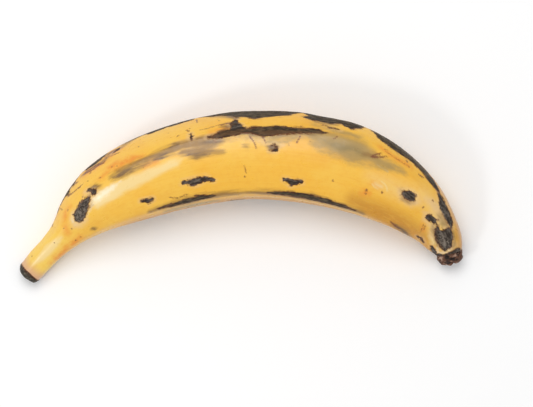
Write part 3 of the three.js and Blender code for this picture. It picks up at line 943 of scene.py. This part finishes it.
class Shader:
    """Short ways to build one material's nodes."""

    def __init__(self, name):
        self.material = bpy.data.materials.new(name)
        self.material.use_nodes = True
        self.tree = self.material.node_tree
        self.surface = self.tree.nodes["Principled BSDF"]

    def node(self, kind, **settings):
        node = self.tree.nodes.new(kind)
        for key, value in settings.items():
            setattr(node, key, value)
        return node

    def feed(self, node, sources):
        """Sets or links a node's inputs, given by name or number."""
        for key, source in sources.items():
            if isinstance(source, bpy.types.NodeSocket):
                self.tree.links.new(source, node.inputs[key])
            else:
                node.inputs[key].default_value = source

    def value(self, name):
        return self.node("ShaderNodeAttribute", attribute_name=name).outputs["Fac"]

    def straight(self, lengthwise=1):
        """Places on the straightened fruit. A low number draws the texture out along it."""
        source = self.node("ShaderNodeAttribute", attribute_name="straight").outputs["Vector"]
        scaled = self.node("ShaderNodeVectorMath", operation="MULTIPLY")
        self.feed(scaled, {0: source, 1: (lengthwise, 1, 1)})
        return scaled.outputs[0]

    def maths(self, operation, first, second=0.0, clamp=False):
        node = self.node("ShaderNodeMath", operation=operation, use_clamp=clamp)
        self.feed(node, {0: first, 1: second})
        return node.outputs[0]

    def step(self, value, low, high, bottom=0.0, top=1.0):
        node = self.node("ShaderNodeMapRange", interpolation_type="SMOOTHSTEP")
        self.feed(node, dict(enumerate((value, low, high, bottom, top))))
        return node.outputs[0]

    def noise(self, vector, scale, detail=2.0, roughness=0.5):
        node = self.node("ShaderNodeTexNoise")
        settings = {"Vector": vector, "Scale": scale, "Detail": detail, "Roughness": roughness}
        self.feed(node, settings)
        return node.outputs["Fac"]

    def cells(self, vector, scale):
        """Distance to the nearest of scattered points, and a random level for each."""
        node = self.node("ShaderNodeTexVoronoi")
        self.feed(node, {"Vector": vector, "Scale": scale})
        return node.outputs["Distance"], node.outputs["Color"]

    def mix(self, factor, first, second):
        node = self.node("ShaderNodeMix", data_type="RGBA")
        self.feed(node, {0: factor, 6: first, 7: second})
        return node.outputs[2]

    def tint(self, colour, tone, value, low, high, most=1.0):
        """A colour that turns towards a tone as a value goes from low to high."""
        return self.mix(self.step(value, low, high, 0.0, most), colour, tone)

    def uneven(self, value, texture, least, most):
        """A value that a texture lowers or raises from place to place."""
        return self.maths("ADD", value, self.step(texture, 0.3, 0.7, least, most))

    def finish(self, colour, roughness, height, relief, specular):
        bump = self.node("ShaderNodeBump")
        self.feed(bump, {"Strength": 1.0, "Distance": relief * MM, "Height": height})
        self.feed(self.surface, {
            "Base Color": colour,
            "Roughness": roughness,
            "Normal": bump.outputs[0],
            "Specular IOR Level": specular,
        })
        return self.material


def peel_colours(s, straight, streaks):
    """The peel: gold with slow changes of tone and fine streaks, painted highlights, shade and light.
    """
    tone = s.noise(straight, 0.03, 3.0)
    mottle = s.noise(straight, 0.35, 4.0, 0.6)
    drift = s.noise(s.straight(0.4), 0.045, 2.0)
    along = s.value("along")
    colour = s.tint(GOLD, LEMON, tone, 0.4, 0.62, 0.7)
    colour = s.tint(colour, AMBER, drift, 0.5, 0.75, 0.6)
    colour = s.tint(colour, STEM_YELLOW, along, 46.0, 18.0, 0.75)
    # deeper amber, partly painted shade on the sides that face down
    colour = s.tint(colour, DEEP_AMBER_AND_SHADE, s.value("deep"), -8.0, 4.0, 0.9)
    # painted light: a weak cream lightening on the flank near the tip
    colour = s.tint(colour, CREAM, s.value("light"), -8.0, 4.0, 0.45)
    colour = s.tint(colour, LEMON, streaks, 0.45, 0.75, 0.32)
    colour = s.tint(colour, AMBER, streaks, 0.5, 0.25, 0.32)
    colour = s.tint(colour, AMBER, mottle, 0.45, 0.7, 0.25)
    cut_tint = s.step(along, 9.0, 1.0, 0.0, 0.9)
    colour = s.mix(s.maths("MULTIPLY", cut_tint, s.step(tone, 0.2, 0.5, 0.5, 1.0)), colour, PINKISH)
    flush = s.step(s.value("flush"), -3.5, 2.5, 0.0, 0.75)
    colour = s.mix(s.maths("MULTIPLY", flush, s.step(mottle, 0.25, 0.6, 0.3, 1.0)), colour, ORANGE)
    brushed = s.noise(s.straight(0.3), 0.35, 3.0, 0.6)
    # pale patches, with painted highlights on the upper flank and the stem's top
    pale = s.uneven(s.value("pale"), brushed, -0.6, 0.6)
    colour = s.tint(colour, CREAM, pale, -1.6, 2.2, 0.9)
    beige = s.uneven(s.value("beige"), mottle, -0.8, 0.8)
    colour = s.tint(colour, HALO, beige, -3.2, 2.8, 0.8)
    # thick wax, and a painted highlight on the flank beside the dark oval
    wax_and_painted_highlight = s.uneven(s.value("wax_and_painted_highlight"), mottle, -1.0, 0.6)
    colour = s.tint(colour, WAX_AND_HIGHLIGHT_WHITE, wax_and_painted_highlight, -1.1, 2.2, 0.75)
    return s.tint(colour, CREAM, s.value("scar"), *SCAR_EDGE, 0.5)


def add_stains(s, colour, straight):
    """Bruises, soft stains, small spots and rubbed lines."""
    cloud = s.noise(s.straight(0.5), 0.2, 4.0, 0.6)
    smear = s.noise(s.straight(0.14), 0.6, 4.0, 0.65)
    bruise = s.uneven(s.value("bruise"), cloud, -1.6, 1.4)
    green = s.tint(OLIVE, DARK_OLIVE, bruise, 2.2, 7.5)
    colour = s.tint(colour, green, bruise, -3.6, 2.8, 0.92)
    stain = s.uneven(s.value("stain"), smear, -1.0, 0.7)
    colour = s.tint(colour, GREY_BROWN, stain, -2.4, 1.8, 0.92)
    shade = s.uneven(s.value("shade"), smear, -0.9, 0.7)
    colour = s.tint(colour, DUSK, shade, -1.6, 1.2, 0.9)
    distance, level = s.cells(straight, 0.16)
    size = s.maths("MULTIPLY", s.maths("SUBTRACT", level, 0.6, clamp=True), 0.18)
    colour = s.tint(colour, SPOT, s.maths("SUBTRACT", size, distance), -0.02, 0.02, 0.55)
    dot = s.uneven(s.value("dot"), s.noise(straight, 1.6, 2.0), -0.35, 0.3)
    colour = s.tint(colour, SPOT, dot, -0.5, 0.45, 0.9)
    ragged = s.step(s.noise(straight, 1.3, 3.0, 0.7), 0.35, 0.65, -0.4, 0.25)
    scratch = s.maths("ADD", s.value("scratch"), ragged)
    return s.tint(colour, RED_BROWN, scratch, -0.45, 0.35, 0.85)


def ragged_depth(s, straight, name, stretch, coarse, fine):
    """How far inside a dried mark a point lies, with its edge made uneven."""
    waves = s.noise(s.straight(stretch), 0.5, 4.0, 0.6)
    grain = s.noise(straight, 1.9, 3.0, 0.65)
    coarse_edge = s.step(waves, 0.25, 0.75, -coarse, coarse)
    fine_edge = s.step(grain, 0.25, 0.75, -fine, fine)
    return s.maths("ADD", s.value(name), s.maths("ADD", coarse_edge, fine_edge))


def add_dried_marks(s, colour, straight):
    """Dried marks: brown rim, nearly black inside, grey bloom, pale specks and one painted highlight.
    """
    band = ragged_depth(s, straight, "band", 0.3, 0.8, 0.3)
    blotch = ragged_depth(s, straight, "blotch", 0.6, 0.6, 0.4)
    depth = s.maths("MAXIMUM", s.maths("MAXIMUM", band, blotch), s.value("cut"))
    patchy = s.noise(s.straight(0.3), 0.4, 3.0, 0.6)
    halo = s.step(s.value("blotch"), -2.6, -0.6, 0.0, 0.35)
    colour = s.mix(s.maths("MULTIPLY", halo, s.step(patchy, 0.3, 0.6)), colour, HALO)
    smear = s.maths("MULTIPLY", s.step(band, -1.6, 0.2, 0.0, 0.7), s.step(patchy, 0.42, 0.6))
    colour = s.mix(smear, colour, GREY_BROWN)
    fringe = s.uneven(depth, s.noise(s.straight(0.6), 1.1, 3.0, 0.65), -1.4, 0.7)
    colour = s.tint(colour, RED_BROWN, fringe, -0.6, 0.5, 0.7)
    bloom = s.step(s.noise(s.straight(0.3), 0.8, 4.0, 0.65), 0.4, 0.7)
    band_tone = s.mix(bloom, BAND_DARK, BAND_GREY)
    blotch_tone = s.mix(bloom, BLOTCH_DARK, BLOTCH_GREY)
    inner = s.tint(blotch_tone, band_tone, s.maths("SUBTRACT", band, blotch), -0.6, 0.6)
    shade = s.maths("ADD", s.value("shade"), s.step(patchy, 0.35, 0.65, -1.6, 1.2))
    inner = s.tint(inner, UMBER, shade, -1.4, 1.4, 0.7)
    inner = s.tint(inner, RED_BROWN, depth, 0.9, 0.0, 0.5)
    grit = s.step(s.noise(straight, 1.5, 3.0, 0.6), 0.5, 0.66)
    spots = s.maths("MULTIPLY", grit, s.step(s.value("speckled"), -2.0, 1.5))
    # pale grey ash, and a painted highlight on the tip's dark patch
    ash_and_highlight = s.step(s.value("ash_and_highlight"), -1.2, 0.6, 0.0, 0.8)
    inner = s.mix(s.maths("MAXIMUM", spots, ash_and_highlight), inner, ASH_AND_HIGHLIGHT_GREY)
    softness = s.step(s.noise(straight, 0.22, 2.0), 0.45, 0.65, 0.25, 0.8)
    mask = s.step(depth, s.maths("MULTIPLY", softness, -1.0), softness)
    return s.mix(mask, colour, inner), mask


def peel_material():
    s = Shader("plantain_peel")
    straight = s.straight()
    streaks = s.noise(s.straight(0.05), 0.9, 3.0, 0.6)
    colour = peel_colours(s, straight, streaks)
    colour = add_stains(s, colour, straight)
    colour, mask = add_dried_marks(s, colour, straight)
    pores = s.noise(straight, 1.6, 3.0, 0.6)
    crust = s.noise(s.straight(0.4), 1.3, 5.0, 0.7)
    gloss = s.step(s.noise(straight, 0.25, 3.0), 0.3, 0.7, 0.27, 0.38)
    roughness = s.maths("ADD", gloss, s.maths("MULTIPLY", mask, 0.25))
    plain = s.maths("ADD", s.maths("MULTIPLY", pores, 0.3), s.maths("MULTIPLY", streaks, 0.2))
    height = s.maths("ADD", plain, s.maths("MULTIPLY", s.maths("MULTIPLY", mask, crust), 1.6))
    specular = s.step(mask, 0.0, 1.0, 0.5, 0.2)
    return s.finish(colour, roughness, height, PEEL_BUMP, specular)


def dried_material(name, deep, high, pale_crest, pale_crest_from):
    """Dry tissue: dark in its hollows, paler where it stands out; partly painted shade and highlight.
    """
    s = Shader(name)
    place_of = s.node("ShaderNodeNewGeometry").outputs["Position"]
    grain = s.noise(place_of, END_GRAIN, 5.0, 0.65)
    patches = s.noise(place_of, END_PATCHES, 3.0, 0.6)
    raised = s.uneven(s.value("raised"), grain, -0.12, 0.12)
    # darker hollows and paler crests: partly the tissue's own colour, partly painted shade and
    # highlight
    colour = s.tint(deep, high, raised, 0.3, 0.75)
    pale_crests = s.maths(
        "MULTIPLY", s.step(raised, pale_crest_from, pale_crest_from + 0.2), s.step(patches, 0.45, 0.62)
    )
    colour = s.mix(pale_crests, colour, pale_crest)
    return s.finish(colour, s.step(grain, 0.3, 0.7, 0.55, 0.8), grain, END_BUMP, 0.4)


# ------------------------------------------------------------------------- camera, lights, ground

PICTURE_WIDTH = 319.8  # of the fruit's own plane that the camera sees
PICTURE_MIDDLE = (142.2, 40.8)  # the place in that plane at the middle of the picture
LENS = 200
SENSOR = 36
CLIP_START = 0.05  # in metres, as the next
CLIP_END = 50
# Each soft light: the direction that it comes from, its distance and size, and its power.
LIGHTS = {
    "key": (Vector((-0.1, 0.3, 0.93)), 1500, 1000, 9.7),
    "gloss": (Vector((-0.54, -0.42, 0.73)), 1400, 240, 2.7),
}
WHITE = (1.0, 1.0, 1.0, 1.0)
WORLD_LEVEL = 0.62
GROUND_SIZE = 6000
GROUND_COLOUR = (0.94, 0.94, 0.94, 1.0)
GROUND_ROUGHNESS = 0.9


def make_camera(offset):
    """Looks straight down on the fruit's own plane, with the convex side to the picture's top."""
    data = bpy.data.cameras.new("camera")
    data.lens = LENS
    data.sensor_width = SENSOR
    data.clip_start = CLIP_START
    data.clip_end = CLIP_END
    camera = add_object("camera", data)
    distance = LENS / SENSOR * PICTURE_WIDTH
    at = FRUIT_AXES @ Vector((*PICTURE_MIDDLE, distance)) + Vector(offset)
    camera.matrix_world = Matrix.Translation(at * MM) @ FRUIT_AXES.to_4x4()
    bpy.context.scene.camera = camera


def make_light(name, direction, distance, size, power):
    data = bpy.data.lights.new(name, "AREA")
    data.shape = "DISK"
    data.size = size * MM
    data.energy = power
    light = add_object(name, data)
    light.location = direction.normalized() * distance * MM
    light.rotation_euler = direction.to_track_quat("Z", "Y").to_euler()


def make_world():
    world = bpy.data.worlds.new("studio")
    world.use_nodes = True
    sky = world.node_tree.nodes["Background"].inputs
    sky["Color"].default_value = WHITE
    sky["Strength"].default_value = WORLD_LEVEL
    bpy.context.scene.world = world
    bpy.context.scene.view_settings.view_transform = "Standard"


def make_ground():
    half = GROUND_SIZE / 2 * MM
    mesh = bpy.data.meshes.new("ground")
    corners = [(-half, -half, 0), (half, -half, 0), (half, half, 0), (-half, half, 0)]
    mesh.from_pydata(corners, [], [(0, 1, 2, 3)])
    ground = add_object("ground", mesh)
    s = Shader("ground")
    s.feed(s.surface, {"Base Color": GROUND_COLOUR, "Roughness": GROUND_ROUGHNESS})
    mesh.materials.append(s.material)


# --------------------------------------------------------------------------------------- the scene


def dress(piece, material):
    piece.data.materials.append(material)
    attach(piece, "root")
    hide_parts("plantain")


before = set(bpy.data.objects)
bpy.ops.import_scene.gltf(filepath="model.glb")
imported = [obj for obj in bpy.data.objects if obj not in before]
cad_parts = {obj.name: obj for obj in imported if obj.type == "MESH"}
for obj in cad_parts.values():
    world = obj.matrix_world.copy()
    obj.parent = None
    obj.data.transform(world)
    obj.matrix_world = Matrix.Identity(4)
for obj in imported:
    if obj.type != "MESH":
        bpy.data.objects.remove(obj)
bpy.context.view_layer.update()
fruit_offset = find_offset()
make_camera(fruit_offset)
for light_name, settings in LIGHTS.items():
    make_light(light_name, *settings)
make_world()
make_ground()

dress(make_peel(fruit_offset), peel_material())
stem_cut = make_end("stem_cut", STEM_CUT, STEM_CUT_ROWS, STEM_CUT_FADE, STEM_CUT_LUMPS, fruit_offset)
dress(stem_cut, dried_material("stem_cut", *STEM_CUT_TONES))
remnant = make_end(
    "flower_remnant", REMNANT, REMNANT_ROWS, REMNANT_FADE, REMNANT_LUMPS, fruit_offset, REMNANT_TRIM
)
dress(remnant, dried_material("flower_remnant", *REMNANT_TONES))
